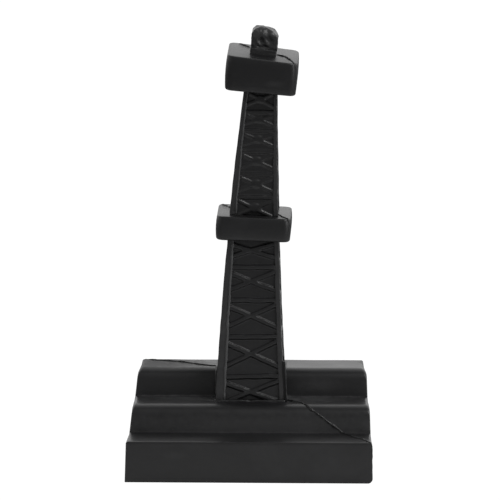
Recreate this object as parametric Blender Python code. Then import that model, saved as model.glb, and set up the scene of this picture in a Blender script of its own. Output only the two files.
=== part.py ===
"""Desk souvenir of an oil derrick: a lattice tower with two decks and a crown block on a base of three terraces.

Metres, +Z up, front towards -Y. The origin is the centre of the base's underside.
Every tower piece is made straight and upright, then moved by one bend, so the gaps between pieces hold.
"""

import math

import bmesh
import bpy
from mathutils import Matrix, Vector

MM = 0.001

# Clearance between neighbouring pieces.
GAP = 0.3 * MM

# Base: three terraces rising to the rear, narrower to the rear and to the top.
BASE_WIDTH = 70.0 * MM
BASE_DEPTH = 45.0 * MM
FRONT_TREAD_Z = 11.7 * MM
MIDDLE_TREAD_Z = 19.3 * MM
REAR_TREAD_Z = 27.0 * MM
FRONT_TREAD_DEPTH = 13.6 * MM
MIDDLE_TREAD_DEPTH = 13.8 * MM
FRONT_DRAFT = 0.35 * MM
RISER_DRAFT = 1.0 * MM
REAR_DRAFT = 0.8 * MM
LIP_RADIUS = 5.0 * MM
FRONT_LIP_RADIUS = 0.5 * MM
INNER_RADIUS = 0.4 * MM
SIDE_DRAFT = 0.03
SIDE_TAPER = 0.022
SIDE_CURVE = 0.75
BASE_CORNER = 0.4 * MM

# Tower: square in plan, standing on the middle terrace and let into the rear one.
TOWER_X = -0.3 * MM
TOWER_Y = 8.9 * MM
LOWER_FOOT_HALF = 9.93 * MM
LOWER_TOP_HALF = 7.3 * MM
UPPER_FOOT_HALF = 6.95 * MM
UPPER_TOP_HALF = 4.75 * MM

# Mid deck and crown deck: rounded blocks that cap the two tower sections.
MID_DECK_BOTTOM = 65.7 * MM
MID_DECK_TOP = 72.6 * MM
MID_DECK_HALF = 10.45 * MM
CROWN_DECK_BOTTOM = 108.6 * MM
CROWN_DECK_TOP = 118.4 * MM
CROWN_DECK_HALF = 10.0 * MM
DECK_CORNER = 1.5 * MM
DECK_EDGE = 0.6 * MM
DECK_BULGE = 0.2 * MM

# Legs, lattice and core of a tower section.
LEG_DEPTH = 1.2 * MM
LOWER_LEG_FOOT = 2.4 * MM
LOWER_LEG_TOP = 1.9 * MM
UPPER_LEG_FOOT = 2.0 * MM
UPPER_LEG_TOP = 1.45 * MM
LATTICE_RECESS = 0.2 * MM
BAR_WIDTH = 1.1 * MM
UPPER_BAR_WIDTH = 0.95 * MM

# Heights of the girts, with the ends of the bays that the foot and the decks cut short.
LOWER_LEVELS = (16.2 * MM, 26.6 * MM, 38.0 * MM, 48.5 * MM, 58.0 * MM, 66.2 * MM)
UPPER_LEVELS = (70.7 * MM, 78.1 * MM, 84.7 * MM, 91.2 * MM, 97.2 * MM, 102.6 * MM, 108.9 * MM)

# Locating tenons on the cores.
BASE_TENON_HALF = 5.0 * MM
BASE_TENON_DEPTH = 5.0 * MM
DECK_TENON_HALF = 3.0 * MM
DECK_TENON_DEPTH = 2.4 * MM

# Crown block: a plate, an open hood and two sheaves under it.
PLATE_HALF_X = 4.1 * MM
PLATE_HALF_Y = 3.2 * MM
PLATE_HEIGHT = 1.2 * MM
HOOD_HALF_X = 3.65 * MM
HOOD_HALF_Y = 2.8 * MM
HOOD_HEIGHT = 5.9 * MM
HOOD_WALL = 0.9 * MM
HOOD_WEB = 0.8 * MM
SHEAVE_WIDTH = 1.3 * MM
SHEAVE_RADIUS = 1.7 * MM
SHEAVE_GROOVE = 0.35 * MM

# Bend of the tower: it sways to the right in one even curve, the crown rolls further, and it nods forward.
BEND_START = 20.0 * MM
BEND_LENGTH = 105.0 * MM
SWAY_RIGHT = 4.0 * MM
CROWN_ROLL = 0.075
CURL_FORWARD = 0.07

ARC_STEPS = 4
SECTION_STEPS = 8

SIDES = (("front", 0.0), ("right", 0.5 * math.pi), ("rear", math.pi), ("left", 1.5 * math.pi))


def clear_scene():
    for obj in list(bpy.data.objects):
        bpy.data.objects.remove(obj)


def make_material(name, colour, roughness):
    material = bpy.data.materials.new(name)
    material.use_nodes = True
    shader = material.node_tree.nodes["Principled BSDF"]
    shader.inputs["Base Color"].default_value = (*colour, 1.0)
    shader.inputs["Roughness"].default_value = roughness
    shader.inputs["Metallic"].default_value = 0.0
    return material


def finish_object(name, bm, smooth=False):
    """Make a mesh object with its own black satin material from a bmesh."""
    bmesh.ops.recalc_face_normals(bm, faces=bm.faces)
    mesh = bpy.data.meshes.new(name)
    bm.to_mesh(mesh)
    bm.free()
    obj = bpy.data.objects.new(name, mesh)
    bpy.context.scene.collection.objects.link(obj)
    if smooth:
        for polygon in mesh.polygons:
            polygon.use_smooth = True
    mesh.materials.append(make_material("black_" + name, (0.02, 0.02, 0.022), 0.42))
    return obj


def mix(start, end, share):
    return start + (end - start) * share


def between(start, end, low, high, z):
    """Value that runs from low at height start to high at height end."""
    return mix(low, high, (z - start) / (end - start))


def lower_half(z):
    return between(MIDDLE_TREAD_Z, MID_DECK_BOTTOM, LOWER_FOOT_HALF, LOWER_TOP_HALF, z)


def upper_half(z):
    return between(MID_DECK_TOP, CROWN_DECK_BOTTOM, UPPER_FOOT_HALF, UPPER_TOP_HALF, z)


def lower_leg(z):
    return between(MIDDLE_TREAD_Z, MID_DECK_BOTTOM, LOWER_LEG_FOOT, LOWER_LEG_TOP, z)


def upper_leg(z):
    return between(MID_DECK_TOP, CROWN_DECK_BOTTOM, UPPER_LEG_FOOT, UPPER_LEG_TOP, z)


def bend_point(point):
    """Move a point of the straight tower, given about the tower's own axis, to where the bent tower holds it."""
    share = max(0.0, (point.z - BEND_START) / BEND_LENGTH)
    right = 2.0 * SWAY_RIGHT * share / BEND_LENGTH + CROWN_ROLL * share**6
    forward = CURL_FORWARD * share**3
    shift_forward = BEND_LENGTH * CURL_FORWARD * share**4 / 4.0
    turn = Matrix.Rotation(right, 3, "Y") @ Matrix.Rotation(forward, 3, "X")
    across = turn @ Vector((point.x, point.y, 0.0))
    centre = Vector((TOWER_X + SWAY_RIGHT * share**2, TOWER_Y - shift_forward, point.z))
    return centre + across


def bend_bmesh(bm):
    for vert in bm.verts:
        vert.co = bend_point(vert.co)


def arc(centre, radius, start, end):
    """Points of an arc in the Y-Z plane, angles in degrees from +Y."""
    points = []
    for step in range(ARC_STEPS + 1):
        angle = math.radians(mix(start, end, step / ARC_STEPS))
        points.append((centre[0] + radius * math.cos(angle), centre[1] + radius * math.sin(angle)))
    return points


def base_profile():
    """Outline of the base in the Y-Z plane, from the front foot over the terraces to the rear foot."""
    front = -0.5 * BASE_DEPTH
    rear = 0.5 * BASE_DEPTH
    lip = LIP_RADIUS
    hollow = INNER_RADIUS
    edge = FRONT_LIP_RADIUS
    riser_one = front + FRONT_TREAD_DEPTH
    lip_one = riser_one + RISER_DRAFT
    riser_two = lip_one + MIDDLE_TREAD_DEPTH
    lip_two = riser_two + RISER_DRAFT
    points = [(front, 0.0)]
    points += arc((front + FRONT_DRAFT + edge, FRONT_TREAD_Z - edge), edge, 180.0, 90.0)
    points += arc((riser_one - hollow, FRONT_TREAD_Z + hollow), hollow, 270.0, 352.0)
    points += arc((lip_one + lip, MIDDLE_TREAD_Z - lip), lip, 172.0, 90.0)
    points += arc((riser_two - hollow, MIDDLE_TREAD_Z + hollow), hollow, 270.0, 352.0)
    points += arc((lip_two + lip, REAR_TREAD_Z - lip), lip, 172.0, 90.0)
    points += arc((rear - REAR_DRAFT - edge, REAR_TREAD_Z - edge), edge, 90.0, 0.0)
    points.append((rear, 0.0))
    return points


def half_width_at(y, z):
    """Half the base's width at a depth and a height: the draft and the curved taper narrow it."""
    back = y + 0.5 * BASE_DEPTH
    return 0.5 * BASE_WIDTH - SIDE_DRAFT * z - SIDE_TAPER * back - SIDE_CURVE * back**2


def box_bmesh(half_x, half_y, low, high):
    bm = bmesh.new()
    bmesh.ops.create_cube(bm, size=1.0)
    bmesh.ops.scale(bm, vec=(2.0 * half_x, 2.0 * half_y, high - low), verts=bm.verts)
    bmesh.ops.translate(bm, vec=(0.0, 0.0, 0.5 * (low + high)), verts=bm.verts)
    return bm


def make_cutter(name, bm):
    cutter = finish_object(name, bm)
    cutter.hide_render = True
    cutter.display_type = "WIRE"
    return cutter


def cut(obj, cutter, operation="DIFFERENCE"):
    modifier = obj.modifiers.new(cutter.name, "BOOLEAN")
    modifier.operation = operation
    modifier.object = cutter
    modifier.solver = "EXACT"
    modifier.use_self = True


def applied_bmesh(obj):
    """Mesh of an object with its modifiers applied, and the object and its cutters removed."""
    bpy.context.view_layer.update()
    graph = bpy.context.evaluated_depsgraph_get()
    bm = bmesh.new()
    bm.from_object(obj, graph)
    for modifier in list(obj.modifiers):
        bpy.data.objects.remove(modifier.object)
    bpy.data.objects.remove(obj)
    return bm


def stack(rings):
    """Closed bmesh through a list of rings, each an equally long list of points, with flat ends."""
    bm = bmesh.new()
    loops = [[bm.verts.new(point) for point in ring] for ring in rings]
    count = len(rings[0])
    for lower, upper in zip(loops, loops[1:]):
        for index in range(count):
            after = (index + 1) % count
            bm.faces.new((lower[index], lower[after], upper[after], upper[index]))
    bm.faces.new(list(reversed(loops[0])))
    bm.faces.new(loops[-1])
    return bm


def base_bmesh():
    """The terraced block: its outline swept across the width, with a chamfer where it meets the two sides."""
    outline = base_profile()
    eased = []
    for y, z in outline:
        eased.append((y * (1.0 - 2.0 * BASE_CORNER / BASE_DEPTH), z - BASE_CORNER if z > 0.0 else z))
    rings = []
    for side, chamfer, points in ((-1.0, 0.0, eased), (-1.0, 1.0, outline), (1.0, 1.0, outline), (1.0, 0.0, eased)):
        rings.append([(side * (half_width_at(y, z) - chamfer * BASE_CORNER), y, z) for y, z in points])
    return stack(rings)


def make_base():
    """One block with three terraces, a pocket for the tower in the rear terrace and a socket for its tenon."""
    base = finish_object("base", base_bmesh())
    room = LOWER_FOOT_HALF + GAP
    pocket = box_bmesh(room, room, MIDDLE_TREAD_Z, REAR_TREAD_Z + BASE_TENON_DEPTH)
    bmesh.ops.translate(pocket, vec=(TOWER_X, TOWER_Y, 0.0), verts=pocket.verts)
    cut(base, make_cutter("base_tower_pocket", pocket))
    room = BASE_TENON_HALF + GAP
    socket_floor = MIDDLE_TREAD_Z - BASE_TENON_DEPTH - GAP
    socket = box_bmesh(room, room, socket_floor, REAR_TREAD_Z)
    bmesh.ops.translate(socket, vec=(TOWER_X, TOWER_Y, 0.0), verts=socket.verts)
    cut(base, make_cutter("base_tenon_socket", socket))


def square(half, z):
    return [(-half, -half, z), (half, -half, z), (half, half, z), (-half, half, z)]


def section_heights(low, high):
    return [mix(low, high, step / SECTION_STEPS) for step in range(SECTION_STEPS + 1)]


def tenon_rings(tenon, shoulder_half, z, outward):
    """Rings of a tenon, given as (half, length), from its end to the shoulder it grows from at height z.

    A tenon wider than its shoulder reaches its width a gap past the shoulder, clear of the legs' ends.
    """
    half, length = tenon
    rings = [square(half, z + outward * length), square(half, z + outward * GAP)]
    if half < shoulder_half:
        rings.append(square(half, z))
    return rings


def make_core(name, low, high, half_at, foot_tenon, head_tenon):
    """Tapered square core of a tower section with a tenon at each end, given as (half, length)."""
    inset = LEG_DEPTH + GAP
    rings = tenon_rings(foot_tenon, half_at(low) - inset, low, -1.0)
    rings += [square(half_at(z) - inset, z) for z in section_heights(low, high)]
    rings += reversed(tenon_rings(head_tenon, half_at(high) - inset, high, 1.0))
    bm = stack(rings)
    bend_bmesh(bm)
    finish_object(name, bm)


def make_leg(name, quarter, low, high, half_at, leg_at):
    """Angle-section leg that wraps one corner of the tower."""
    rings = []
    for z in section_heights(low, high):
        outer = half_at(z)
        inner = outer - LEG_DEPTH
        flank = outer - leg_at(z)
        ring = [(-outer, -outer), (-flank, -outer), (-flank, -inner)]
        ring += [(-inner, -inner), (-inner, -flank), (-outer, -flank)]
        rings.append([(x, y, z) for x, y in ring])
    bm = stack(rings)
    bmesh.ops.rotate(bm, matrix=Matrix.Rotation(quarter, 3, "Z"), verts=bm.verts)
    bend_bmesh(bm)
    finish_object(name, bm)


def bar_points(start, end, width, near, far):
    """Corners of a straight bar in the plane of a panel, from depth near to depth far."""
    run = (Vector(end) - Vector(start)).normalized()
    side = Vector((-run.y, run.x)) * 0.5 * width
    start = Vector(start) - run * width
    end = Vector(end) + run * width
    corners = (start - side, end - side, end + side, start + side)
    rings = []
    for depth in (near, far):
        rings.append([(corner.x, depth, corner.y) for corner in corners])
    return rings


def lattice_bmesh(levels, low, high, half_at, leg_at, width):
    """Girts and crossed braces of one tower face, trimmed to the panel between the legs."""
    panel_rings = []
    for z in (low, high):
        flank = half_at(z) - leg_at(z) - GAP
        near = -(half_at(z) - LATTICE_RECESS)
        far = -(half_at(z) - LEG_DEPTH)
        panel_rings.append([(-flank, near, z), (flank, near, z), (flank, far, z), (-flank, far, z)])
    panel = finish_object("panel", stack(panel_rings))
    bars = bmesh.new()
    near = -(half_at(levels[0]) + MM)
    far = -(half_at(levels[-1]) - LEG_DEPTH - MM)
    spans = []
    for z in levels[1:-1]:
        spans.append(((-half_at(z), z), (half_at(z), z)))
    for bottom, top in zip(levels, levels[1:]):
        below = half_at(bottom) - leg_at(bottom)
        above = half_at(top) - leg_at(top)
        spans.append(((-below, bottom), (above, top)))
        spans.append(((below, bottom), (-above, top)))
    for start, end in spans:
        bar = stack(bar_points(start, end, width, near, far))
        bmesh.ops.recalc_face_normals(bar, faces=bar.faces)
        mesh = bpy.data.meshes.new("bar")
        bar.to_mesh(mesh)
        bar.free()
        bars.from_mesh(mesh)
        bpy.data.meshes.remove(mesh)
    cut(panel, make_cutter("bars", bars), "INTERSECT")
    return applied_bmesh(panel)


def make_section(prefix, low, high, levels, half_at, leg_at, width):
    """Four legs and four lattice panels round a core."""
    lattice = lattice_bmesh(levels, low, high, half_at, leg_at, width)
    corners = ("front_left", "front_right", "rear_right", "rear_left")
    for (side, turn), corner in zip(SIDES, corners):
        bm = lattice.copy()
        bmesh.ops.rotate(bm, matrix=Matrix.Rotation(turn, 3, "Z"), verts=bm.verts)
        bend_bmesh(bm)
        finish_object(f"{prefix}_lattice_{side}", bm)
        make_leg(f"{prefix}_leg_{corner}", turn, low, high, half_at, leg_at)
    lattice.free()


def rounded_square(half, corner, z):
    points = []
    for quarter in range(4):
        for step in range(ARC_STEPS + 1):
            angle = 0.5 * math.pi * (quarter + step / ARC_STEPS)
            middle = 0.25 * math.pi + 0.5 * math.pi * quarter
            reach = math.sqrt(2.0) * (half - corner)
            x = reach * math.cos(middle) + corner * math.cos(angle)
            y = reach * math.sin(middle) + corner * math.sin(angle)
            points.append((x, y, z))
    return points


def make_deck(name, low, high, half, sockets):
    """Block with rounded corners, eased rims and slightly bulging sides, with sockets as (half, from, to)."""
    middle = 0.5 * (low + high)
    rings = []
    for z, inset in ((low, DECK_EDGE), (low + DECK_EDGE, 0.0), (middle, -DECK_BULGE), (high - DECK_EDGE, 0.0), (high, DECK_EDGE)):
        rings.append(rounded_square(half - inset, DECK_CORNER, z))
    deck = finish_object(name + "_blank", stack(rings))
    for index, (socket_half, start, end) in enumerate(sockets):
        cutter = box_bmesh(socket_half + GAP, socket_half + GAP, start, end)
        cut(deck, make_cutter(f"{name}_socket_{index}", cutter))
    bm = applied_bmesh(deck)
    bend_bmesh(bm)
    finish_object(name, bm)


def hood_outline(half, height, spring):
    """Front view of the hood: straight cheeks up to the spring of a round arch."""
    points = [(half, 0.0)]
    rise = height - spring
    for step in range(2 * ARC_STEPS + 1):
        angle = math.pi * step / (2 * ARC_STEPS)
        points.append((half * math.cos(angle), spring + rise * math.sin(angle)))
    points.append((-half, 0.0))
    return points


def prism_bmesh(outline, near, far, low):
    rings = []
    for depth in (near, far):
        rings.append([(x, depth, low + z) for x, z in outline])
    return stack(rings)


def make_crown_block():
    """Plate on the crown deck, a hood with two arched bays and a sheave in each bay."""
    plate_low = CROWN_DECK_TOP + GAP
    plate_high = plate_low + PLATE_HEIGHT
    plate = box_bmesh(PLATE_HALF_X, PLATE_HALF_Y, plate_low, plate_high)
    bmesh.ops.bevel(plate, geom=plate.edges[:], offset=0.25 * MM, segments=1, affect="EDGES")
    bend_bmesh(plate)
    finish_object("crown_block_plate", plate)
    hood_low = plate_high + GAP
    outline = hood_outline(HOOD_HALF_X, HOOD_HEIGHT, 0.5 * HOOD_HEIGHT)
    hood = finish_object("hood_blank", prism_bmesh(outline, -HOOD_HALF_Y, HOOD_HALF_Y, hood_low))
    bay_half = 0.5 * (HOOD_HALF_X - HOOD_WALL - 0.5 * HOOD_WEB)
    bay_centre = 0.5 * HOOD_WEB + bay_half
    bay_height = HOOD_HEIGHT - 2.0 * HOOD_WALL
    for side in (-1.0, 1.0):
        bay = prism_bmesh(hood_outline(bay_half, bay_height, bay_height - bay_half), -MM, MM, 0.0)
        bmesh.ops.scale(bay, vec=(1.0, 2.0 * HOOD_HALF_Y / MM, 1.0), verts=bay.verts)
        bmesh.ops.translate(bay, vec=(side * bay_centre, 0.0, hood_low - GAP), verts=bay.verts)
        cut(hood, make_cutter(f"hood_bay_{side:.0f}", bay))
    bm = applied_bmesh(hood)
    bend_bmesh(bm)
    finish_object("crown_block_hood", bm)
    for side, name in ((-1.0, "left"), (1.0, "right")):
        centre = Vector((side * bay_centre, 0.0, hood_low + SHEAVE_RADIUS))
        make_sheave("crown_block_sheave_" + name, centre)


def make_sheave(name, centre):
    """Grooved wheel whose axis runs across the tower."""
    half = 0.5 * SHEAVE_WIDTH
    bm = bmesh.new()
    profile = ((-half, 0.0), (-half, SHEAVE_RADIUS), (0.0, SHEAVE_RADIUS - SHEAVE_GROOVE), (half, SHEAVE_RADIUS), (half, 0.0))
    verts = [bm.verts.new((x, 0.0, radius)) for x, radius in profile]
    edges = [bm.edges.new(pair) for pair in zip(verts, verts[1:])]
    bmesh.ops.spin(bm, geom=verts + edges, cent=(0.0, 0.0, 0.0), axis=(1.0, 0.0, 0.0), angle=2.0 * math.pi, steps=16)
    bmesh.ops.remove_doubles(bm, verts=bm.verts, dist=0.01 * MM)
    bmesh.ops.translate(bm, vec=centre, verts=bm.verts)
    bend_bmesh(bm)
    finish_object(name, bm, smooth=True)


def main():
    clear_scene()
    make_base()
    low = MIDDLE_TREAD_Z + GAP
    high = MID_DECK_BOTTOM - GAP
    make_section("lower", low, high, LOWER_LEVELS, lower_half, lower_leg, BAR_WIDTH)
    head = (DECK_TENON_HALF, DECK_TENON_DEPTH)
    make_core("lower_core", low, high, lower_half, (BASE_TENON_HALF, BASE_TENON_DEPTH), head)
    low = MID_DECK_TOP + GAP
    high = CROWN_DECK_BOTTOM - GAP
    make_section("upper", low, high, UPPER_LEVELS, upper_half, upper_leg, UPPER_BAR_WIDTH)
    make_core("upper_core", low, high, upper_half, head, head)
    reach = DECK_TENON_DEPTH + GAP
    below = (DECK_TENON_HALF, MID_DECK_BOTTOM - MM, MID_DECK_BOTTOM + reach)
    above = (DECK_TENON_HALF, MID_DECK_TOP - reach, MID_DECK_TOP + MM)
    make_deck("mid_deck", MID_DECK_BOTTOM, MID_DECK_TOP, MID_DECK_HALF, (below, above))
    below = (DECK_TENON_HALF, CROWN_DECK_BOTTOM - MM, CROWN_DECK_BOTTOM + reach)
    make_deck("crown_deck", CROWN_DECK_BOTTOM, CROWN_DECK_TOP, CROWN_DECK_HALF, (below,))
    make_crown_block()


main()
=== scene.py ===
"""Looks of a black souvenir oil derrick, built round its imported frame.

The figure is moulded in one go from black foam with a satin skin, so its pieces share one family of skins and
their edges are soft. Metres, +Z up, front towards -Y, origin at the centre of the base's underside.
"""

import logging
import math
from dataclasses import dataclass
from enum import Enum
from typing import Any, Iterable, Sequence

import bmesh
import bpy
from mathutils import Matrix, Vector, noise
from mathutils.bvhtree import BVHTree


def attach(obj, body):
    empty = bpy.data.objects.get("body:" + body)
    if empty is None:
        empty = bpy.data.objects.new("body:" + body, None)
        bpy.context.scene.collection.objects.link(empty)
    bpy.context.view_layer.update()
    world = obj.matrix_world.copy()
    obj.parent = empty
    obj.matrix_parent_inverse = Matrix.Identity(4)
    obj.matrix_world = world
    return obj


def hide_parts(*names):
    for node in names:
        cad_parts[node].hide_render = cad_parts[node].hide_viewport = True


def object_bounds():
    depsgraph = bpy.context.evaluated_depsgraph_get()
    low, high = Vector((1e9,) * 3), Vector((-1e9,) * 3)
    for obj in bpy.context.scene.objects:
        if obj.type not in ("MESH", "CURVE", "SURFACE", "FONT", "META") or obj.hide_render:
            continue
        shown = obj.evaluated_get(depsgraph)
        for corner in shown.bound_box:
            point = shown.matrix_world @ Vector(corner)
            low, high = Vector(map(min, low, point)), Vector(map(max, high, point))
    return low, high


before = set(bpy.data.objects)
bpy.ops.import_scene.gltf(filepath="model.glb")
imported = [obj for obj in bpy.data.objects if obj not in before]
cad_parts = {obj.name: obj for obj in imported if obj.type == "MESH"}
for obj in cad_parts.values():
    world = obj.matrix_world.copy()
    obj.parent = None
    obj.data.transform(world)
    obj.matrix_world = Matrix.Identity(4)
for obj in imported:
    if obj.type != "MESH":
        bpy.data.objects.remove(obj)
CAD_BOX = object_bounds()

LOG = logging.getLogger("derrick")
MM = 0.001
ROOT = "root"
NOISE_SEED = 4
LEVEL_SLACK = 0.01 * MM
CUT_SLACK = 1e-7
BMesh = bmesh.types.BMesh
Point = tuple[float, float]
Point3 = tuple[float, float, float]
Colour = tuple[float, float, float, float]


def frame_size(axis: int) -> float:
    """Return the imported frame's size along an axis, to the nearest tenth of a millimetre."""
    return round(CAD_BOX[1][axis] - CAD_BOX[0][axis], 4)


def mix(start: float, end: float, share: float) -> float:
    """Return the value a share of the way from start to end."""
    return start + (end - start) * share


def between(start: float, end: float, parts: int) -> list[float]:
    """Return the places that divide a length into equal parts."""
    return [mix(start, end, step / parts) for step in range(1, parts)]


def along(stops: Sequence[Point], place: float) -> float:
    """Read a line of straight runs.

    Args:
        stops: The line's corners as (place, value), in order.
        place: Where to read it.

    Returns:
        The line's value there, or its nearest end's value outside it.
    """
    for (first, low), (last, high) in zip(stops, stops[1:]):
        if place <= last:
            return mix(low, high, max(0.0, place - first) / (last - first))
    return stops[-1][1]


class Signal:
    """A shader socket that takes part in Python arithmetic."""

    def __init__(self, graph: "NodeGraph", socket: Any) -> None:
        """Keep the graph and the socket."""
        self.graph = graph
        self.socket = socket

    def _math(self, operation: str, first: Any, second: Any) -> "Signal":
        """Return a new signal for an operation on two values."""
        return self.graph.node("ShaderNodeMath", {"operation": operation}, {0: first, 1: second}).out()

    def __add__(self, other: Any) -> "Signal":
        """Return self + other."""
        return self._math("ADD", self, other)

    def __sub__(self, other: Any) -> "Signal":
        """Return self - other."""
        return self._math("SUBTRACT", self, other)

    def __rsub__(self, other: Any) -> "Signal":
        """Return other - self."""
        return self._math("SUBTRACT", other, self)

    def __mul__(self, other: Any) -> "Signal":
        """Return self * other."""
        return self._math("MULTIPLY", self, other)

    __radd__ = __add__
    __rmul__ = __mul__


class Step:
    """A node that has been placed in a graph."""

    def __init__(self, graph: "NodeGraph", node: Any) -> None:
        """Keep the graph and the node."""
        self.graph = graph
        self.node = node

    def out(self, name: Any = 0) -> Signal:
        """Return one of the node's outputs as a signal."""
        return Signal(self.graph, self.node.outputs[name])


class NodeGraph:
    """A node tree that is built by naming nodes, settings and inputs."""

    def __init__(self, tree: Any) -> None:
        """Start from an emptied tree."""
        self.tree = tree
        tree.nodes.clear()

    def node(self, kind: str, settings: dict[str, Any], inputs: dict[Any, Any]) -> Step:
        """Place one node.

        Args:
            kind: The node's type name.
            settings: Properties, set before the sockets; "stops" sets a colour ramp.
            inputs: Values or signals by socket name or index.

        Returns:
            The placed node.
        """
        made = self.tree.nodes.new(kind)
        for name, value in settings.items():
            if name == "stops":
                self._set_stops(made.color_ramp, value)
            else:
                setattr(made, name, value)
        for name, value in inputs.items():
            if isinstance(value, Signal):
                self.tree.links.new(value.socket, made.inputs[name])
            else:
                made.inputs[name].default_value = value
        return Step(self, made)

    @staticmethod
    def _set_stops(ramp: Any, stops: Sequence[Point]) -> None:
        """Give a colour ramp its grey stops.

        Args:
            ramp: The ramp.
            stops: Its stops as (position, level).
        """
        while len(ramp.elements) < len(stops):
            ramp.elements.new(0.5)
        for element, (position, level) in zip(ramp.elements, stops):
            element.position = position
            element.color = (level, level, level, 1.0)


@dataclass(frozen=True)
class RubAndPaintedLight:
    """A lighter patch on the skin: some are marks of rubbing and dirt, some are painted light on the base's
    treads and risers.
    """

    centre: Point3
    reach: Point3
    dust_and_painted_light: float
    dull: float


@dataclass(frozen=True)
class Layer:
    """One layer of noise in a skin: size and height of its features, octaves, strength of the finer ones."""

    size: float
    height: float
    octaves: float
    strength: float


@dataclass(frozen=True)
class MouldedSkin:
    """Black satin skin of a foam moulding: slow swells, a fine grain, sparse pits, and lighter patches that
    are partly rubbed skin and partly painted light.
    """

    name: str
    colour: Colour = (0.008, 0.008, 0.0085, 1.0)
    worn_colour: Colour = (0.016, 0.016, 0.017, 1.0)
    # Lighter colour of the patches below: a mark on the skin in some, painted light in the tread and riser
    # ones.
    dust_and_painted_light_colour: Colour = (0.085, 0.085, 0.087, 1.0)
    roughness: float = 0.36
    patch_dulling: float = 0.10
    grain_dulling: float = 0.06
    specular: float = 0.42
    swell: Layer = Layer(7.0 * MM, 0.10 * MM, 2.0, 0.45)
    mottle: Layer = Layer(1.7 * MM, 0.027 * MM, 2.0, 0.5)
    grain: Layer = Layer(0.45 * MM, 0.009 * MM, 3.0, 0.6)
    patches: Layer = Layer(18.2 * MM, 0.0, 4.0, 0.6)
    pit_sites: Layer = Layer(10.2 * MM, 0.0, 1.0, 0.5)
    pit_size: float = 3.4 * MM
    pit_depth: float = 0.05 * MM
    patch_share: float = 0.7
    grain_share: float = 0.3
    lighter_patch_break: float = 0.7
    patch_stops: tuple[Point, Point] = ((0.52, 0.0), (0.72, 1.0))
    lighter_patch_stops: tuple[Point, Point] = ((0.25, 1.0), (1.0, 0.0))
    pit_stops: tuple[Point, Point] = ((0.04, 1.0), (0.11, 0.0))
    pit_site_stops: tuple[Point, Point] = ((0.56, 0.0), (0.6, 1.0))
    # Lighter patches as (centre, reach, share of the lighter colour, added roughness); the first three are
    # painted light.
    rubs_and_painted_light: tuple[RubAndPaintedLight, ...] = (
        # Painted light: a lighter band over the rear of tread 2, standing in for the light the tread
        # reflects.
        RubAndPaintedLight((0.0, 4.5 * MM, 18.7 * MM), (46.0 * MM, 8.5 * MM, 1.1 * MM), 1.0, 0.12),
        # Painted light: the lower part of riser 2 made lighter, as if it caught more light.
        RubAndPaintedLight((6.0 * MM, -8.6 * MM, 13.4 * MM), (60.0 * MM, 2.6 * MM, 5.0 * MM), 0.22, 0.04),
        # Painted light: the right part of riser 3 made lighter, as if lit from the right.
        RubAndPaintedLight((19.5 * MM, 6.4 * MM, 22.6 * MM), (8.0 * MM, 3.0 * MM, 2.4 * MM), 0.12, 0.06),
        RubAndPaintedLight((-21.0 * MM, -22.4 * MM, 7.7 * MM), (4.5 * MM, 2.0 * MM, 1.5 * MM), 0.05, 0.03),
        RubAndPaintedLight((6.5 * MM, -4.0 * MM, 111.0 * MM), (3.5 * MM, 6.0 * MM, 1.2 * MM), 0.1, 0.06),
        RubAndPaintedLight((-28.0 * MM, 14.0 * MM, 27.2 * MM), (19.0 * MM, 13.0 * MM, 1.3 * MM), 0.06, 0.25),
    )

    def build(self) -> bpy.types.Material:
        """Build the material.

        Returns:
            A new material with a Principled surface.
        """
        material = bpy.data.materials.new(self.name)
        material.use_nodes = True
        graph = NodeGraph(material.node_tree)
        place = graph.node("ShaderNodeTexCoord", {}, {}).out("Object")
        mottle = self._noise(graph, place, self.mottle)
        grain = self._noise(graph, place, self.grain)
        patches = self._noise(graph, place, self.patches)
        swell = self._noise(graph, place, self.swell)
        height = swell * self.swell.height + mottle * self.mottle.height + grain * self.grain.height
        height = height - self._pits(graph, place) * self.pit_depth
        bump = graph.node("ShaderNodeBump", {}, {"Height": height, "Distance": 1.0, "Strength": 1.0})
        worn = graph.node("ShaderNodeValToRGB", {"stops": self.patch_stops}, {0: patches}).out()
        shade = worn * self.patch_share + grain * self.grain_share
        colour = self._blend(graph, shade, self.colour, self.worn_colour)
        roughness = self.roughness + (patches - 0.5) * self.patch_dulling + (grain - 0.5) * self.grain_dulling
        # Lighter patches: marks on the skin in some, painted light in the tread and riser ones.
        for lighter_patch in self.rubs_and_painted_light:
            rub_and_painted_light_mask = self._rub_and_painted_light(graph, place, lighter_patch, mottle)
            colour = self._blend(graph, rub_and_painted_light_mask * lighter_patch.dust_and_painted_light, colour, self.dust_and_painted_light_colour)
            roughness = roughness + rub_and_painted_light_mask * lighter_patch.dull
        paint = {
            "Base Color": colour,
            "Roughness": roughness,
            "Specular IOR Level": self.specular,
            "Normal": bump.out("Normal"),
        }
        surface = graph.node("ShaderNodeBsdfPrincipled", {}, paint)
        graph.node("ShaderNodeOutputMaterial", {}, {"Surface": surface.out("BSDF")})
        return material

    @staticmethod
    def _blend(graph: NodeGraph, share: Signal, first: Any, second: Colour) -> Signal:
        """Return a colour that turns from the first into the second as the share rises."""
        return graph.node("ShaderNodeMix", {"data_type": "RGBA"}, {0: share, 6: first, 7: second}).out(2)

    @staticmethod
    def _noise(graph: NodeGraph, place: Signal, layer: Layer) -> Signal:
        """Return a layer's smooth noise."""
        inputs = {"Scale": 1.0 / layer.size, "Detail": layer.octaves, "Roughness": layer.strength}
        return graph.node("ShaderNodeTexNoise", {}, {"Vector": place, **inputs}).out("Fac")

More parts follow.
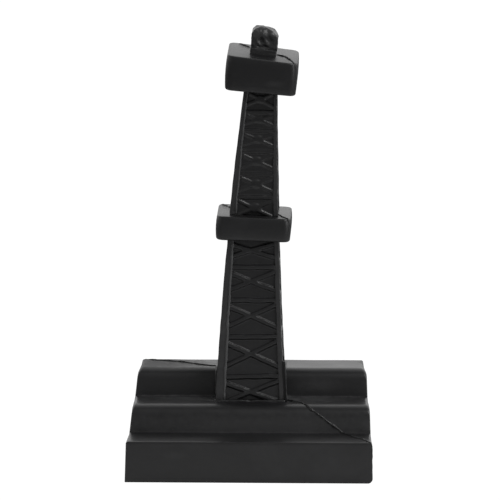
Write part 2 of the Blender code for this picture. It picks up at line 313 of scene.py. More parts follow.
    def _rub_and_painted_light(self, graph: NodeGraph, place: Signal, lighter_patch: RubAndPaintedLight, mottle: Signal) -> Signal:
        """Mask one lighter patch, whether a mark on the skin or painted light.

        Args:
            graph: The material's graph.
            place: Position on the piece.
            lighter_patch: The patch.
            mottle: Noise that breaks up the patch.

        Returns:
            1 in the middle of the patch, fading unevenly to 0 at its edge.
        """
        vector = "ShaderNodeVectorMath"
        offset = graph.node(vector, {"operation": "SUBTRACT"}, {0: place, 1: lighter_patch.centre}).out()
        scaled = graph.node(vector, {"operation": "DIVIDE"}, {0: offset, 1: lighter_patch.reach}).out()
        away = graph.node(vector, {"operation": "LENGTH"}, {0: scaled}).out("Value")
        uneven = away + (mottle - 0.5) * self.lighter_patch_break
        return graph.node("ShaderNodeValToRGB", {"stops": self.lighter_patch_stops}, {0: uneven}).out()

    def _pits(self, graph: NodeGraph, place: Signal) -> Signal:
        """Mask a few small round pits.

        Args:
            graph: The material's graph.
            place: Position on the piece.

        Returns:
            1 in the middle of each pit and 0 elsewhere.
        """
        cells = graph.node("ShaderNodeTexVoronoi", {}, {"Vector": place, "Scale": 1.0 / self.pit_size})
        spots = graph.node("ShaderNodeValToRGB", {"stops": self.pit_stops}, {0: cells.out("Distance")})
        sites = self._noise(graph, place, self.pit_sites)
        few = graph.node("ShaderNodeValToRGB", {"stops": self.pit_site_stops}, {0: sites})
        return spots.out() * few.out()


class SkinLook(Enum):
    """The skins a piece can get: plain, mottled, and lighter copies that paint light and a highlight."""

    SATIN = MouldedSkin("black_satin_skin")
    MOTTLED = MouldedSkin("mottled_black_skin", mottle=Layer(1.2 * MM, 0.045 * MM, 2.0, 0.5))
    # Painted light: a lighter copy of the same skin for the legs and the crown block, standing in for the
    # light they catch.
    PAINTED_LIGHT = MouldedSkin("rubbed_black_skin", (0.02, 0.02, 0.0205, 1.0), (0.04, 0.04, 0.041, 1.0))
    # Painted highlight: a still lighter copy of the skin for the ridge on the front left leg.
    PAINTED_HIGHLIGHT = MouldedSkin("polished_edge_skin", (0.05, 0.05, 0.051, 1.0), (0.07, 0.07, 0.071, 1.0))


@dataclass(frozen=True)
class TowerBend:
    """Bend that carries a point of the straight tower to where the leaning tower holds it."""

    start: float = 20.0 * MM
    length: float = 105.0 * MM
    axis_x: float = -0.3 * MM
    axis_y: float = 8.9 * MM
    sway_right: float = 4.0 * MM
    crown_roll: float = 0.075
    roll_power: int = 6
    curl_forward: float = 0.07
    curl_power: int = 3

    def carry(self, point: Vector) -> Vector:
        """Bend one point.

        Args:
            point: Its place about the tower's own upright axis.

        Returns:
            Its place on the leaning tower.
        """
        share = max(0.0, (point.z - self.start) / self.length)
        right = 2.0 * self.sway_right * share / self.length + self.crown_roll * share**self.roll_power
        forward = self.curl_forward * share**self.curl_power
        nod = self.length * self.curl_forward * share ** (self.curl_power + 1) / (self.curl_power + 1)
        turn = Matrix.Rotation(right, 3, "Y") @ Matrix.Rotation(forward, 3, "X")
        centre = Vector((self.axis_x + self.sway_right * share**2, self.axis_y - nod, point.z))
        return centre + turn @ Vector((point.x, point.y, 0.0))

    def apply(self, bm: BMesh) -> None:
        """Bend every vertex of a mesh."""
        for vert in bm.verts:
            vert.co = self.carry(vert.co)


@dataclass(frozen=True)
class Melt:
    """How far a piece's overlapping shapes melt into one skin: voxel size and rounds of smoothing."""

    voxel: float
    rounds: int


@dataclass(frozen=True)
class Bead:
    """Section of a thin bead: mean radius, how ragged it is, and its end's share of its start's radius."""

    radius: float
    ragged: float
    end_share: float = 1.0


def add_object(name: str, data: Any) -> bpy.types.Object:
    """Put a new object into the scene.

    Args:
        name: Its name.
        data: Its mesh, curve, light or camera.

    Returns:
        The object.
    """
    made = bpy.data.objects.new(name, data)
    bpy.context.scene.collection.objects.link(made)
    return made


class Workshop:
    """Turns meshes and paths into finished, riding pieces."""

    crease = math.radians(42.0)
    melt_factor = 0.5
    lump_size = 0.9 * MM
    speck_size = 0.35 * MM
    speck_share = 0.6
    swing = 1.6
    thinnest = 0.15
    blunt_end = 0.25
    blunt_points = 4.0

    def __init__(self) -> None:
        """Make the skins and start an empty list of pieces."""
        self.skins = {wear: wear.value.build() for wear in SkinLook}
        self.made: list[bpy.types.Object] = []

    def finish(
        self, name: str, bm: BMesh, nodes: Sequence[str] = (), wear: SkinLook = SkinLook.SATIN
    ) -> bpy.types.Object:
        """Make a piece from a mesh.

        Args:
            name: The piece's name.
            bm: Its mesh in place, freed here.
            nodes: CAD nodes that the piece stands for.
            wear: Which skin it gets: plain, mottled, or a lighter copy that is painted light.

        Returns:
            The new object.
        """
        bmesh.ops.recalc_face_normals(bm, faces=bm.faces)
        for edge in bm.edges:
            edge.smooth = edge.smooth and edge.calc_face_angle(0.0) < self.crease
        mesh = bpy.data.meshes.new(name)
        bm.to_mesh(mesh)
        bm.free()
        mesh.materials.append(self.skins[wear])
        for polygon in mesh.polygons:
            polygon.use_smooth = True
        return self._register(name, mesh, nodes)

    def _register(self, name: str, data: Any, nodes: Sequence[str]) -> bpy.types.Object:
        """Put a piece into the scene, let it ride and hide the CAD nodes that it stands for.

        Args:
            name: The piece's name.
            data: Its mesh or curve.
            nodes: CAD nodes that it stands for.

        Returns:
            The new object.
        """
        piece = add_object(name, data)
        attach(piece, ROOT)
        if nodes:
            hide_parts(*nodes)
        self.made.append(piece)
        return piece

    def soften(self, piece: bpy.types.Object, melt: Melt) -> None:
        """Melt a piece's overlapping shapes into one skin with soft inner and outer corners.

        Args:
            piece: The piece.
            melt: How far it melts.
        """
        remesh = piece.modifiers.new("one_skin", "REMESH")
        remesh.mode = "VOXEL"
        remesh.voxel_size = melt.voxel
        remesh.use_smooth_shade = True
        smooth = piece.modifiers.new("soft_corners", "SMOOTH")
        smooth.factor = self.melt_factor
        smooth.iterations = melt.rounds

    def bead(self, name: str, points: Sequence[Vector], section: Bead, wear: SkinLook = SkinLook.SATIN) -> None:
        """Make a thin uneven bead along a path.

        Args:
            name: The piece's name.
            points: Path of the bead's middle.
            section: The bead's section.
            wear: Which skin it gets: plain, mottled, or a lighter copy that is painted light.
        """
        curve = bpy.data.curves.new(name, "CURVE")
        curve.dimensions = "3D"
        curve.bevel_depth = section.radius
        curve.bevel_resolution = 1
        curve.use_fill_caps = True
        spline = curve.splines.new("POLY")
        last = len(points) - 1
        spline.points.add(last)
        for index, (target, point) in enumerate(zip(spline.points, points)):
            target.co = (*point, 1.0)
            lump = noise.noise(point / self.lump_size)
            speck = self.speck_share * noise.noise(point / self.speck_size)
            fade = min(1.0, self.blunt_end + min(index, last - index) / self.blunt_points)
            taper = mix(1.0, section.end_share, index / last)
            swollen = 1.0 + section.ragged * self.swing * (lump + speck)
            target.radius = max(self.thinnest, swollen) * fade * taper
        curve.materials.append(self.skins[wear])
        self._register(name, curve, ())


def box(half_x: float, half_y: float, low: float, high: float) -> BMesh:
    """Make an upright box about the Z axis.

    Args:
        half_x: Half its width.
        half_y: Half its depth.
        low: Height of its underside.
        high: Height of its top.

    Returns:
        The box.
    """
    bm = bmesh.new()
    bmesh.ops.create_cube(bm, size=1.0)
    bmesh.ops.scale(bm, vec=(2.0 * half_x, 2.0 * half_y, high - low), verts=bm.verts)
    bmesh.ops.translate(bm, vec=(0.0, 0.0, 0.5 * (low + high)), verts=bm.verts)
    return bm


def join(target: BMesh, extra: BMesh) -> None:
    """Add one mesh to another.

    Args:
        target: The mesh that grows.
        extra: The mesh that is added, freed here.
    """
    mesh = bpy.data.meshes.new("joined")
    extra.to_mesh(mesh)
    extra.free()
    target.from_mesh(mesh)
    bpy.data.meshes.remove(mesh)


def turned(bm: BMesh, angle: float) -> BMesh:
    """Turn a mesh about the Z axis and return it."""
    bmesh.ops.rotate(bm, matrix=Matrix.Rotation(angle, 3, "Z"), verts=bm.verts)
    return bm


def slice_across(bm: BMesh, places: Iterable[float], axis: int) -> None:
    """Cut a mesh's faces at planes across an axis, keeping both sides.

    Args:
        bm: The mesh.
        places: Where the planes stand on the axis.
        axis: The axis, from 0 to 2.
    """
    normal = [0.0, 0.0, 0.0]
    normal[axis] = 1.0
    for place in places:
        spot = [0.0, 0.0, 0.0]
        spot[axis] = place
        geom = bm.verts[:] + bm.edges[:] + bm.faces[:]
        bmesh.ops.bisect_plane(bm, geom=geom, plane_co=spot, plane_no=normal, dist=CUT_SLACK)


def round_edges(bm: BMesh, edges: Sequence[Any], offset: float, segments: int) -> None:
    """Round some edges of a mesh.

    Args:
        bm: The mesh.
        edges: The edges.
        offset: How far from each edge the rounding begins.
        segments: Number of flats that make the rounding.
    """
    bmesh.ops.bevel(
        bm, geom=edges, offset=offset, segments=segments, profile=0.5, material=-1, affect="EDGES"
    )


@dataclass
class Terraces:
    """Base of three terraces, narrower to the rear and to the top."""

    shop: Workshop
    width: float = frame_size(0)
    depth: float = frame_size(1)
    treads: Point3 = (11.7 * MM, 19.3 * MM, 27.0 * MM)
    tread_depths: Point = (13.6 * MM, 13.8 * MM)
    front_draft: float = 0.35 * MM
    riser_draft: float = 1.0 * MM
    rear_draft: float = 0.8 * MM
    side_draft: float = 0.03
    side_taper: float = 0.022
    side_curve: float = 0.75
    lip: float = 3.4 * MM
    hollow: float = 0.12 * MM
    edge: float = 0.45 * MM
    foot: float = 0.15 * MM
    rim: float = 1.1 * MM
    rear_rim: float = 1.9 * MM
    front_rim: float = 0.6 * MM
    upright_rim: float = 0.35 * MM
    rim_growth: float = 0.3
    rim_slope: float = 0.4
    swell: float = 0.08 * MM
    swell_size: float = 9.0 * MM
    worn_foot: float = 1.4 * MM
    left_growth: float = 0.25 * MM
    left_lean: float = 0.6 * MM
    lean_depth: float = 12.0 * MM
    arc_step: float = 0.35 * MM
    run_step: float = 0.5 * MM
    arc_steps: int = 4
    rim_rings: int = 8
    side_parts: int = 40
    cap_parts: int = 24
    seam_step: float = 0.35 * MM
    seam_lift: float = 0.07 * MM
    slow_stray: Point = (3.0 * MM, 0.55 * MM)
    quick_stray: Point = (0.8 * MM, 0.22 * MM)
    rise_offset: Point = (0.25 * MM, -0.1 * MM)
    rise_parts: int = 12
    ray_start: float = 0.2
    front_bead: Bead = Bead(0.2 * MM, 0.5, 1.9)
    rear_bead: Bead = Bead(0.3 * MM, 0.5, 0.7)
    front_seam: tuple[Point, ...] = (
        (12.1 * MM, 34.4 * MM),
        (18.0 * MM, 31.0 * MM),
        (25.6 * MM, 26.0 * MM),
        (28.5 * MM, 22.8 * MM),
        (33.3 * MM, 17.3 * MM),
        (38.4 * MM, 14.3 * MM),
        (42.6 * MM, 10.0 * MM),
    )
    rear_seam: tuple[Point, ...] = (
        (60.8 * MM, -9.0 * MM),
        (61.6 * MM, -12.7 * MM),
        (66.8 * MM, -20.4 * MM),
        (70.6 * MM, -31.6 * MM),
    )

    def corners(self) -> list[Point3]:
        """Lay out the side view.

        Returns:
            Its corners as (y, z, radius), from the front foot round to the rear foot.
        """
        front, rear = -0.5 * self.depth, 0.5 * self.depth
        first, second, third = self.treads
        riser_one = front + self.tread_depths[0]
        lip_one = riser_one + self.riser_draft
        riser_two = lip_one + self.tread_depths[1]
        lip_two = riser_two + self.riser_draft
        return [
            (front, 0.0, self.foot),
            (front + self.front_draft, first, self.edge),
            (riser_one, first, self.hollow),
            (lip_one, second, self.lip),
            (riser_two, second, self.hollow),
            (lip_two, third, self.lip),
            (rear - self.rear_draft, third, self.edge),
            (rear, 0.0, self.foot),
        ]

    def half_width(self, y: float, z: float) -> float:
        """Return half the width at a depth and a height."""
        back = y + 0.5 * self.depth
        return 0.5 * self.width - self.side_draft * z - self.side_taper * back - self.side_curve * back**2

    def outline(self) -> list[tuple[Vector, Vector]]:
        """Draw the side view with its corners rounded and its straight runs divided.

        Returns:
            Its points as (y, z) with their outward normals.
        """
        corners = self.corners()
        points: list[tuple[Vector, Vector]] = []
        for index, (y, z, radius) in enumerate(corners):
            here = Vector((y, z))
            back = (Vector(corners[index - 1][:2]) - here).normalized()
            ahead = (Vector(corners[(index + 1) % len(corners)][:2]) - here).normalized()
            half_turn = 0.5 * back.angle(ahead)
            outwards = 1.0 if back.x * ahead.y - back.y * ahead.x > 0.0 else -1.0
            centre = here + (back + ahead).normalized() * radius / math.sin(half_turn)
            start = here + back * radius / math.tan(half_turn)
            end = here + ahead * radius / math.tan(half_turn)
            if points:
                self._run(points, start)
            steps = max(self.arc_steps, round(radius / self.arc_step))
            for step in range(steps + 1):
                spoke = (start - centre).normalized().slerp((end - centre).normalized(), step / steps)
                points.append((centre + spoke * radius, spoke * outwards))
        self._run(points, points[0][0])
        return points

    def _run(self, points: list[tuple[Vector, Vector]], end: Vector) -> None:
        """Divide a straight run of the side view.

        Args:
            points: The side view so far, which grows.
            end: Where the next corner's arc begins.
        """
        start, normal = points[-1]
        steps = max(1, round((end - start).length / self.run_step))
        for step in range(1, steps):
            points.append((start.lerp(end, step / steps), normal))

    def _rim(self, spot: Vector, normal: Vector) -> float:
        """Size the rim where the block's end meets its outline.

        Args:
            spot: The outline's point as (y, z).
            normal: Its outward normal.

        Returns:
            The rim's radius.
        """
        rearward = min(1.0, max(0.0, spot.x / (self.rim_growth * self.depth)))
        limit = mix(self.rim, self.rear_rim, rearward)
        if spot.y < self.treads[0] + MM:
            limit = self.front_rim
        limit = mix(self.upright_rim, limit, max(0.0, normal.y) ** 2)
        for y, z, radius in self.corners():
            if radius < self.rim:
                limit = min(limit, radius + self.rim_slope * (Vector((y, z)) - spot).length)
        return limit

    def block(self) -> BMesh:
        """Model the block as rings of its side view from end to end, eased at both ends.

        Returns:
            The block's mesh.
        """
        outline = self.outline()
        turns = [0.5 * math.pi * step / self.rim_rings for step in range(self.rim_rings + 1)]
        places = [(-1.0, math.cos(turn)) for turn in turns]
        places += [(side, 0.0) for side in between(-1.0, 1.0, self.side_parts)]
        places += [(1.0, math.sin(turn)) for turn in turns]
        bm = bmesh.new()
        rings = []
        for place in places:
            rings.append([bm.verts.new(self._ring_point(spot, normal, place)) for spot, normal in outline])
        for near, far in zip(rings, rings[1:]):
            for index in range(len(outline)):
                bm.faces.new((near[index - 1], near[index], far[index], far[index - 1]))
        for side, ring in ((-1.0, rings[0]), (1.0, rings[-1])):
            self._cap(bm, ring, side)
        return bm

    def _cap(self, bm: BMesh, ring: Sequence[bmesh.types.BMVert], side: float) -> None:
        """Close one end with a finely divided face that follows the end's slight taper.

        Args:
            bm: The block's mesh.
            ring: The last ring's vertices.
            side: The end's side, -1 or 1.
        """
        patch = [bm.faces.new(ring)]
        for axis, start, length in ((1, -0.5 * self.depth, self.depth), (2, 0.0, self.treads[2])):
            for step in range(1, self.cap_parts):
                place, normal = Vector(), Vector()
                place[axis] = start + length * step / self.cap_parts
                normal[axis] = 1.0
                parts = patch + list({edge for face in patch for edge in face.edges})
                parts += list({vert for face in patch for vert in face.verts})
                cut = bmesh.ops.bisect_plane(
                    bm, geom=parts, dist=CUT_SLACK, plane_co=place, plane_no=normal
                )
                patch = [item for item in cut["geom"] if isinstance(item, bmesh.types.BMFace)]
        inner = set(patch)
        for vert in {vert for face in patch for vert in face.verts}:
            if all(face in inner for face in vert.link_faces):
                spot = Vector((vert.co.y, vert.co.z))
                vert.co.x = side * (self.half_width(spot.x, spot.y) + self._left_shift(spot, side))

    def _left_shift(self, spot: Vector, side: float) -> float:
        """Return how much further out than the right end the left end lies at a point of the side view."""
        return self.left_growth - self._lean(spot) if side < 0.0 else 0.0

    def _ring_point(self, spot: Vector, normal: Vector, place: Point) -> Vector:
        """Place one point of a ring.

        Args:
            spot: The outline's point as (y, z).
            normal: Its outward normal.
            place: Side from -1 to 1, and how far round the rim the ring lies from 0 to 1.

        Returns:
            The point.
        """
        side, turn = place
        rim = self._rim(spot, normal)
        wear = min(self.worn_foot, max(0.0, self.worn_foot - spot.y)) if side > 0.0 else 0.0
        reach = self.half_width(spot.x, spot.y) - rim + self._left_shift(spot, side)
        reach -= self.worn_foot - math.sqrt(self.worn_foot**2 - wear**2)
        inset = spot - normal * rim * (1.0 - math.sqrt(max(0.0, 1.0 - turn**2)))
        point = Vector((side * (reach + rim * turn), inset.x, inset.y))
        if point.z > MM:
            swell = noise.noise(point / self.swell_size) * self.swell
            point += Vector((0.0, normal.x, normal.y)) * swell
        return point

    def _lean(self, spot: Vector) -> float:
        """Measure how far the left end of the upper two terraces leans in.

        Args:
            spot: A point of the outline as (y, z).

        Returns:
            The lean at that point.
        """
        first, second, third = self.treads
        foot, top, start = second, third, sum(self.tread_depths)
        if spot.y < second + LEVEL_SLACK:
            foot, top, start = first, second, self.tread_depths[0]
        behind = spot.x + 0.5 * self.depth - start
        if behind <= 0.0:
            return 0.0
        rise = max(0.0, (spot.y - foot) / (top - foot))
        return self.left_lean * rise * max(0.0, 1.0 - behind / self.lean_depth)

    def path_point(self, tree: BVHTree, x: float, climb: float) -> tuple[Vector, Vector]:
        """Find a point on the steps.

        Args:
            tree: The base's surface.
            x: Place across the width.
            climb: How far along and up the steps the point lies, as depth from the front plus height.

        Returns:
            The point and its normal.
        """
        across = climb - 0.5 * self.depth
        start = Vector((x, 0.5 * across - self.ray_start, 0.5 * across + self.ray_start))
        place, normal, _, _ = tree.ray_cast(start, Vector((0.0, 1.0, -1.0)).normalized())
        return place, normal

    def seam_path(self, tree: BVHTree, stops: Sequence[Point]) -> list[Vector]:
        """Lay the parting line over the steps.

        Args:
            tree: The base's surface.
            stops: Way points as (climb, x), from the front to the rear.

        Returns:
            The line's points.
        """
        points = []
        count = int((stops[-1][0] - stops[0][0]) / self.seam_step)
        for step in range(count + 1):
            climb = mix(stops[0][0], stops[-1][0], step / count)
            place, normal = self.path_point(tree, along(stops, climb) + self._wander(climb), climb)
            points.append(place + normal * self.seam_lift)
        return points

    def _wander(self, climb: float) -> float:
        """Let the parting line stray sideways.

        Args:
            climb: How far along and up the steps the point lies.

        Returns:
            How far it strays there.
        """
        slow = noise.noise(Vector((climb / self.slow_stray[0], 0.3, 0.7)))
        quick = noise.noise(Vector((climb / self.quick_stray[0], 5.1, 2.2)))
        return self.slow_stray[1] * slow + self.quick_stray[1] * quick

    def build(self) -> BVHTree:
        """Build the base and its parting line.

        Returns:
            The base's surface, for placing what lies on it.
        """
        piece = self.shop.finish("base_terraces", self.block(), ("base",))
        bpy.context.view_layer.update()
        tree = BVHTree.FromObject(piece, bpy.context.evaluated_depsgraph_get())
        front = self.seam_path(tree, self.front_seam)
        x, y = front[0].x + self.rise_offset[0], front[0].y + self.rise_offset[1]
        rise = [Vector((x, y, z)) for z in between(0.0, front[0].z, self.rise_parts)]
        self.shop.bead("base_parting_line_front", rise + front, self.front_bead)
        self.shop.bead("base_parting_line_rear", self.seam_path(tree, self.rear_seam), self.rear_bead)
        return tree


@dataclass(frozen=True)
class LegWidths:
    """Width of a leg at a section's foot and top, as seen on one face of the tower."""

    low: float
    high: float


@dataclass(frozen=True)
class Face:
    """One face of a tower section: which way it looks and the widths of the legs that frame it."""

    name: str
    left: LegWidths
    right: LegWidths


@dataclass(frozen=True)
class Relief:
    """Sizes of the lattice relief on a face; a gusset is the swelling's share of a bay where braces cross."""

    sunk: float
    brace: float
    girt: float
    brace_rise: float
    girt_rise: float
    brace_start: float
    brace_end: float
    brace_drop: float
    gusset: float = 0.0


@dataclass
class TowerSection:
    """One tapered section of the tower: legs at its corners and a lattice on each face."""

    shop: Workshop
    bend: TowerBend
    name: str
    low: float
    high: float
    half_low: float
    half_high: float
    faces: tuple[Face, Face, Face, Face]
    levels: tuple[float, ...]
    relief: Relief
    ridge: float
    melt: Melt
    leg_melt: Melt = Melt(0.15 * MM, 7)
    leg_depth: float = 1.2 * MM
    leg_parts: int = 24
    bar_parts: int = 12
    panel_depth: float = 0.9 * MM
    panel_tuck: float = 0.3 * MM
    narrowing: float = 0.5
    wave: float = 0.16 * MM
    leg_wave_size: float = 4.0 * MM
    bar_wave_size: float = 3.1 * MM
    rise_wave: float = 0.25
    rise_wave_size: float = 2.2 * MM
    girt_drops: Point = (0.45 * MM, 0.1 * MM)
    gusset_rise: float = 1.05
    gusset_segments: tuple[int, int] = (20, 14)
    line_parts: int = 70
    corner_inset: float = 0.16 * MM
    corner_bead: Bead = Bead(0.1 * MM, 0.9)
    ridge_ragged: float = 0.3
    ridge_stray: float = 0.22 * MM
    ridge_stray_size: float = 5.0 * MM

    def share(self, z: float) -> float:
        """Return how far up the section a height is, from 0 to 1."""
        return (z - self.low) / (self.high - self.low)

    def half(self, z: float) -> float:
        """Return half the section's width at a height."""
        return mix(self.half_low, self.half_high, self.share(z))

    def leg(self, widths: LegWidths, z: float) -> float:
        """Return a leg's width at a height."""
        return mix(widths.low, widths.high, self.share(z))

    def edges(self, face: Face, z: float) -> Point:
        """Return where a face's panel ends at the left and right at a height."""
        return self.leg(face.left, z) - self.half(z), self.half(z) - self.leg(face.right, z)

    def heights(self) -> list[float]:
        """Return evenly spaced heights inside the section."""
        return between(self.low, self.high, self.leg_parts)

    def bays(self) -> list[Point]:
        """Return the heights of the girts below and above each bay."""
        return list(zip(self.levels, self.levels[1:]))

    def leg_mesh(self, front: LegWidths, flank: LegWidths) -> BMesh:
        """Model a leg at the front left corner as an angle that wraps it.

        Args:
            front: Its width on the front face.
            flank: Its width on the face to the left.

        Returns:
            The leg, not yet bent.
        """
        bm = bmesh.new()
        ring = ((0, 0), (1, 0), (1, 2), (2, 2), (2, 1), (0, 1))
        foot = bm.faces.new([bm.verts.new((x, y, self.low)) for x, y in ring])
        grown = bmesh.ops.extrude_face_region(bm, geom=[foot])
        moved = [item for item in grown["geom"] if isinstance(item, bmesh.types.BMVert)]
        bmesh.ops.translate(bm, vec=(0.0, 0.0, self.high - self.low), verts=moved)
        slice_across(bm, self.heights(), 2)
        for vert in bm.verts:
            z = vert.co.z
            across = (0.0, self.leg(front, z), self.leg_depth)
            backwards = (0.0, self.leg(flank, z), self.leg_depth)
            vert.co.x = -self.half(z) + across[round(vert.co.x)]
            vert.co.y = -self.half(z) + backwards[round(vert.co.y)]
            vert.co += noise.noise_vector(vert.co / self.leg_wave_size) * self.wave
        return bm

    def bar_mesh(self, start: Point, end: Point, width: float, rise: float) -> BMesh:
        """Model one lattice bar on the front face, as a ridge with sloping flanks.

        Args:
            start: Where the bar's middle begins, as (x, z).
            end: Where it ends.
            width: The bar's width where it leaves the panel.
            rise: How far it stands above the panel.

        Returns:
            The bar, not yet bent.
        """
        first, last = Vector(start), Vector(end)
        run = last - first
        bm = bmesh.new()
        bmesh.ops.create_cube(bm, size=1.0)
        bmesh.ops.scale(bm, vec=(run.length + width, 1.0, width), verts=bm.verts)
        slice_across(bm, [place * run.length for place in between(-0.5, 0.5, self.bar_parts)], 0)
        for vert in bm.verts:
            if vert.co.y < 0.0:
                vert.co.z *= self.narrowing
        bmesh.ops.rotate(bm, matrix=Matrix.Rotation(-math.atan2(run.y, run.x), 3, "Y"), verts=bm.verts)
        centre = 0.5 * (first + last)
        bmesh.ops.translate(bm, vec=(centre.x, 0.0, centre.y), verts=bm.verts)
        for vert in bm.verts:
            lift = rise * (1.0 + self.rise_wave * noise.noise(vert.co / self.rise_wave_size))
            outwards = -lift if vert.co.y < 0.0 else self.leg_depth
            vert.co.y = -self.half(vert.co.z) + self.relief.sunk + outwards
            vert.co.z += noise.noise(vert.co / self.bar_wave_size) * self.wave
        return bm

    def gusset_mesh(self, face: Face, bottom: float, top: float) -> BMesh:
        """Model the soft swelling where a bay's two braces cross.

        Args:
            face: The face that the bay is on.
            bottom: Height of the girt below the bay.
            top: Height of the girt above it.

        Returns:
            The swelling, not yet bent.
        """
        relief = self.relief
        middle = 0.5 * (bottom + relief.brace_start + top - relief.brace_end - 0.5 * relief.brace_drop)
        left, right = self.edges(face, middle)
        rise = relief.brace_rise * self.gusset_rise
        bm = bmesh.new()
        around, up = self.gusset_segments
        bmesh.ops.create_uvsphere(bm, u_segments=around, v_segments=up, radius=1.0)
        reach = (relief.gusset * (right - left), rise, relief.gusset * (top - bottom))
        bmesh.ops.scale(bm, vec=reach, verts=bm.verts)
        centre = (0.5 * (left + right), relief.sunk - self.half(middle), middle)
        bmesh.ops.translate(bm, vec=centre, verts=bm.verts)
        return bm

    def lattice_mesh(self, face: Face) -> BMesh:
        """Model a face's lattice as if it looked to the front: a sunk panel with girts and crossed braces.

        Args:
            face: The face.

        Returns:
            The lattice, not yet bent.
        """
        relief = self.relief
        bm = box(1.0, 1.0, self.low, self.high)
        slice_across(bm, self.heights(), 2)
        for vert in bm.verts:
            half = self.half(vert.co.z)
            side = face.left if vert.co.x < 0.0 else face.right
            vert.co.y = relief.sunk - half + (0.0 if vert.co.y < 0.0 else self.panel_depth)
            vert.co.x = math.copysign(half - self.leg(side, vert.co.z) + self.panel_tuck, vert.co.x)
        for start, end in self.girts(face):
            join(bm, self.bar_mesh(start, end, relief.girt, relief.girt_rise))
        for start, end in self.braces(face):
            join(bm, self.bar_mesh(start, end, relief.brace, relief.brace_rise))
        if relief.gusset:
            for bottom, top in self.bays():
                join(bm, self.gusset_mesh(face, bottom, top))
        return bm

    def girts(self, face: Face) -> list[tuple[Point, Point]]:
        """Lay out a face's nearly level bars.

        Args:
            face: The face.

        Returns:
            Their middle lines.
        """
        lines = []
        for z in self.levels[1:-1]:
            left, right = self.edges(face, z)
            lines.append(((left, z - self.girt_drops[0]), (right, z - self.girt_drops[1])))
        return lines

    def braces(self, face: Face) -> list[tuple[Point, Point]]:
        """Lay out a face's crossed bars.

        Args:
            face: The face.

        Returns:
            Their middle lines, two for each bay.
        """
        lines = []
        for bottom, top in self.bays():
            low, high = bottom + self.relief.brace_start, top - self.relief.brace_end
            dropped = high - self.relief.brace_drop
            lower, upper = self.edges(face, low), self.edges(face, high)
            lines.append(self._within((lower[0], low), (upper[1], high)))
            lines.append(self._within((lower[1], low), (upper[0], dropped)))
        return lines

    def _within(self, start: Point, end: Point) -> tuple[Point, Point]:
        """Cut a line to the section's own height.

        Args:
            start: The line's lower end.
            end: Its upper end.

        Returns:
            The ends of what is left.
        """
        cut = []
        for z in (max(start[1], self.low), min(end[1], self.high)):
            share = (z - start[1]) / (end[1] - start[1])
            cut.append((mix(start[0], end[0], share), z))
        return cut[0], cut[1]

    def _line_heights(self) -> list[float]:
        """Return closely spaced heights over the whole section."""
        return [mix(self.low, self.high, step / self.line_parts) for step in range(self.line_parts + 1)]

    def _corner(self, right: float, back: float, z: float) -> Vector:
        """Return a point on the rounded outer corner of a leg."""
        reach = self.half(z) - self.corner_inset
        return Vector((right * reach, back * reach, z))

    def _ridge_line(self) -> list[Vector]:
        """Follow the raised inner edge of the front left leg.

        Returns:
            The edge's points on the leaning tower.
        """
        points = []
        for z in self._line_heights():
            stray = self.ridge_stray * noise.noise(Vector((0.0, 3.0, z / self.ridge_stray_size)))
            left, _ = self.edges(self.faces[0], z)
            spot = Vector((left - 0.5 * self.ridge + stray, 0.25 * self.ridge - self.half(z), z))
            points.append(self.bend.carry(spot))
        return points

    def _dress(self, kind: str, side: str, bm: BMesh, wear: SkinLook, melt: Melt) -> None:
        """Bend and finish one leg or lattice and melt its shapes together.

        Args:
            kind: "leg" or "lattice".
            side: The corner or the face that it belongs to.
            bm: Its mesh.
            wear: Which skin it gets: plain, mottled, or a lighter copy that is painted light.
            melt: How far it melts.
        """
        self.bend.apply(bm)
        node = f"{self.name}_{kind}_{side}"
        self.shop.soften(self.shop.finish(f"{node}_skin", bm, (node,), wear), melt)

    def build(self) -> None:
        """Build the four lattices, the four legs and the lines left by the mould."""
        corners = ("front_left", "front_right", "rear_right", "rear_left")
        for index, (face, corner) in enumerate(zip(self.faces, corners)):
            angle = 0.5 * math.pi * index
            flank = self.faces[index - 1].right
            self._dress("lattice", face.name, turned(self.lattice_mesh(face), angle), SkinLook.MOTTLED, self.melt)
            leg = turned(self.leg_mesh(face.left, flank), angle)
            # The legs get the lighter copy of the skin: painted light.
            self._dress("leg", corner, leg, SkinLook.PAINTED_LIGHT, self.leg_melt)
        ridge = Bead(self.ridge, self.ridge_ragged)
        # The ridge gets the painted highlight skin.
        self.shop.bead(f"{self.name}_leg_ridge", self._ridge_line(), ridge, SkinLook.PAINTED_HIGHLIGHT)
        for side, corner in ((-1.0, "front_right"), (1.0, "rear_left")):
            line = [self.bend.carry(self._corner(-side, side, z)) for z in self._line_heights()]
            self.shop.bead(f"{self.name}_parting_line_{corner}", line, self.corner_bead)


